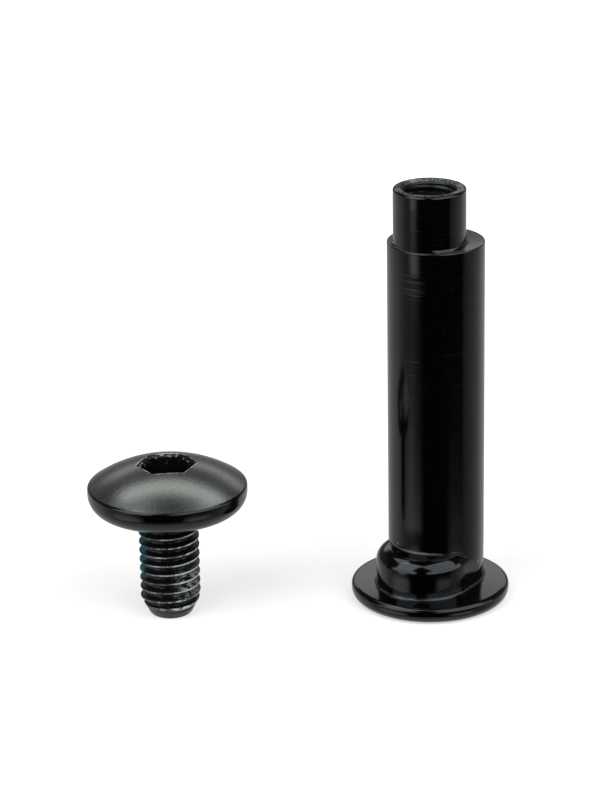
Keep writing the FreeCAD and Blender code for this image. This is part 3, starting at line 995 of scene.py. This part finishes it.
# Panels of the studio: degrees to the right of the camera's side, height as a sine, softness in
# degrees, brightness, blueness
PANELS = (
    ((-80, -38), (-0.60, -0.385), 9, 1.0, 0.0),
    ((-70, -54), (-0.45, -0.350), 7, 0.55, 0.5),
    ((32, 68), (-0.60, -0.40), 9, 0.90, 0.0),
    ((-62, -44), (-0.290, 0.30), 9, 1.3, 1.0),
    ((-78, -19), (-0.02, 0.33), 4, 1.9, 1.0),
    ((8, 98), (-0.02, 0.33), 4, 1.75, 1.0),
    ((-190, -150), (0.30, 0.47), 5, 1.0, 0.0),
    ((150, 190), (0.30, 0.47), 5, 1.0, 0.0),
)
PANEL_EDGE = 0.012


def floor_material(s):
    """Pale floor that is white to the camera and keeps a soft shadow."""
    made, w, shader = new_material("stage floor", Roughness=0.9)
    w.give(shader["Base Color"], rgba(s.floor))
    w.give(shader["Emission Color"], WHITE)
    seen = w.node("ShaderNodeLightPath").outputs["Is Camera Ray"]
    reach = w.node("ShaderNodeVectorMath", {0: w.object_place()}, operation="LENGTH")
    added = w.step(reach.outputs["Value"], 0.03, 0.14, 0.50, 1.0)
    w.give(shader["Emission Strength"], w.times(seen, added))
    return made


def stage_floor(s):
    """A flat square, a little lower than the pieces so that their undersides aren't in its plane."""
    mesh = bpy.data.meshes.new("stage floor")
    corners = [(-1, -1), (1, -1), (1, 1), (-1, 1)]
    mesh.from_pydata([(x * FLOOR_HALF, y * FLOOR_HALF, 0) for x, y in corners], [], [(0, 1, 2, 3)])
    mesh.materials.append(floor_material(s))
    floor = link("stage floor", mesh)
    floor.location.z = -FLOOR_DROP
    floor.visible_glossy = False


def grey_ramp(w, value, stops):
    """Brightness along a value from 0 to 1, through the given stops."""
    ramp = w.node("ShaderNodeValToRGB", {0: value})
    elements = ramp.color_ramp.elements
    for number, (at, tone) in enumerate(stops):
        element = elements[number] if number < 2 else elements.new(at)
        element.position = at
        element.color = (tone, tone, tone, 1.0)
    return ramp.outputs[0]


def studio(w, s):
    """The pale and dark places, the panels and the floor that gloss sees round the object."""
    direction = w.split(w.node("ShaderNodeTexCoord").outputs["Generated"])
    upward = direction[2]
    bearing = w.math("ARCTAN2", direction[0], w.times(direction[1], -1.0))
    degrees = w.times(bearing, 180 / math.pi)
    around = grey_ramp(w, w.math("MULTIPLY_ADD", bearing, 0.5 / math.pi, 0.5), ROUND_STOPS)
    fading = grey_ramp(w, w.math("MULTIPLY_ADD", upward, 0.5, 0.5), UPWARD_STOPS)
    tone = w.blend(1.0, around, fading, "MULTIPLY")
    for (left, right), (low, high), softness, brightness, blueness in PANELS:
        across = w.group("window", Value=degrees, Low=left, High=right, Softness=softness)
        along = w.group("window", Value=upward, Low=low, High=high, Softness=PANEL_EDGE)
        tint = [brightness * (1 + blueness * (part - 1)) for part in s.cool]
        mask = w.times(across["Mask"], along["Mask"])
        tone = w.blend(mask, tone, rgba(tint), "LIGHTEN")
    underneath = w.step(upward, -0.85, -0.55, 1.0, 0.0)
    return w.blend(underneath, tone, rgba([s.under_glow] * 3))


def stage_world(s):
    """White to the camera and pale to diffuse light. Gloss sees a studio: pale behind, dark in front."""
    world = bpy.data.worlds.new("stage world")
    bpy.context.scene.world = world
    world.use_nodes = True
    world.node_tree.nodes.clear()
    w = Wiring(world.node_tree)
    path = w.node("ShaderNodeLightPath").outputs
    seen = w.blend(path["Is Diffuse Ray"], WHITE, rgba([s.fill] * 3))
    seen = w.blend(path["Is Glossy Ray"], seen, studio(w, s))
    background = w.node("ShaderNodeBackground", {"Color": seen, "Strength": 1.0})
    w.node("ShaderNodeOutputWorld", {"Surface": background.outputs[0]})


def soft_box(name, colour_value, glow, azimuth, elevation, width, height, lit):
    """A rectangular lamp that faces the object from this direction, azimuth 0 being the camera's side.

    Where lit names pieces, the lamp lights those alone.
    """
    lamp = bpy.data.lights.new(name, "AREA")
    lamp.shape = "RECTANGLE"
    lamp.size, lamp.size_y = width, height
    lamp.energy = glow * math.pi * width * height
    lamp.color = colour_value
    made = link(name, lamp)
    a, e = math.radians(azimuth), math.radians(elevation)
    towards = Vector((math.sin(a) * math.cos(e), -math.cos(a) * math.cos(e), math.sin(e)))
    made.location = Vector(LAMP_TARGET) + towards * LAMP_DISTANCE
    made.rotation_euler = towards.to_track_quat("Z", "Y").to_euler()
    if lit:
        chosen = bpy.data.collections.new(f"lit by {name}")
        for piece in lit:
            chosen.objects.link(bpy.data.objects[piece])
        made.light_linking.receiver_collection = chosen


def stage_camera(s):
    """A camera that stands back along -Y and up by its elevation, and looks along forward.

    Forward is (sin yaw cos pitch, cos yaw cos pitch, -sin pitch). Right and up are the level pair
    beside it, turned by the roll.
    """
    yaw, pitch, roll = s.camera_yaw, s.camera_pitch, s.camera_roll
    forward = Vector(
        (math.sin(yaw) * math.cos(pitch), math.cos(yaw) * math.cos(pitch), -math.sin(pitch))
    )
    level = Vector((math.cos(yaw), -math.sin(yaw), 0))
    upward = level.cross(forward)
    right = level * math.cos(roll) + upward * math.sin(roll)
    up = upward * math.cos(roll) - level * math.sin(roll)
    view = bpy.data.cameras.new("stage camera")
    view.lens = s.lens
    view.sensor_width = SENSOR_WIDTH
    camera = link("stage camera", view)
    turn = Matrix((right, up, -forward)).transposed().to_4x4()
    back = s.camera_distance * math.cos(s.camera_elevation)
    rise = s.camera_distance * math.sin(s.camera_elevation)
    turn.translation = (0.0, -back, s.camera_target + rise)
    camera.matrix_world = turn
    bpy.context.scene.camera = camera


class SKATEAXLE_OT_stage(bpy.types.Operator):
    """Adds the floor, the soft light and the camera"""

    bl_idname = "skateaxle.stage"
    bl_label = "Build Stage"

    def execute(self, context):
        s = context.scene.axle_stage
        stage_floor(s)
        stage_world(s)
        for name, share, *rest in SIDE_LAMPS:
            soft_box(name, s.cool, s.side_glow * share, *rest)
        for name, share, *rest in TOP_LAMPS:
            soft_box(name, s.warm, s.top_glow * share, *rest)
        stage_camera(s)
        context.scene.view_settings.view_transform = "Standard"
        return {"FINISHED"}


# Panel and start


class SKATEAXLE_PT_panel(bpy.types.Panel):
    """Lists the pieces of the axle and its stage"""

    bl_label = "Skate Axle"
    bl_idname = "SKATEAXLE_PT_panel"
    bl_space_type = "VIEW_3D"
    bl_region_type = "UI"
    bl_category = "Skate Axle"

    def draw(self, context):
        scene = context.scene
        for operator, group in (
            (SKATEAXLE_OT_sleeve, scene.axle_sleeve),
            (SKATEAXLE_OT_screw, scene.axle_screw),
            (SKATEAXLE_OT_stage, scene.axle_stage),
        ):
            box = self.layout.box()
            box.operator(operator.bl_idname)
            for name in group.bl_rna.properties.keys():
                if name not in ("rna_type", "name"):
                    box.prop(group, name)


CLASSES = (
    AxleSleeveSettings,
    AxleScrewSettings,
    AxleStageSettings,
    SKATEAXLE_OT_sleeve,
    SKATEAXLE_OT_screw,
    SKATEAXLE_OT_stage,
    SKATEAXLE_PT_panel,
)


def register():
    for item in CLASSES:
        bpy.utils.register_class(item)
    bpy.types.Scene.axle_sleeve = bpy.props.PointerProperty(type=AxleSleeveSettings)
    bpy.types.Scene.axle_screw = bpy.props.PointerProperty(type=AxleScrewSettings)
    bpy.types.Scene.axle_stage = bpy.props.PointerProperty(type=AxleStageSettings)


def unregister():
    del bpy.types.Scene.axle_stage
    del bpy.types.Scene.axle_screw
    del bpy.types.Scene.axle_sleeve
    for item in reversed(CLASSES):
        bpy.utils.unregister_class(item)


def main():
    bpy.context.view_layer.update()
    register()
    bpy.ops.skateaxle.sleeve()
    bpy.ops.skateaxle.screw()
    bpy.ops.skateaxle.stage()


if __name__ == "__main__":
    main()
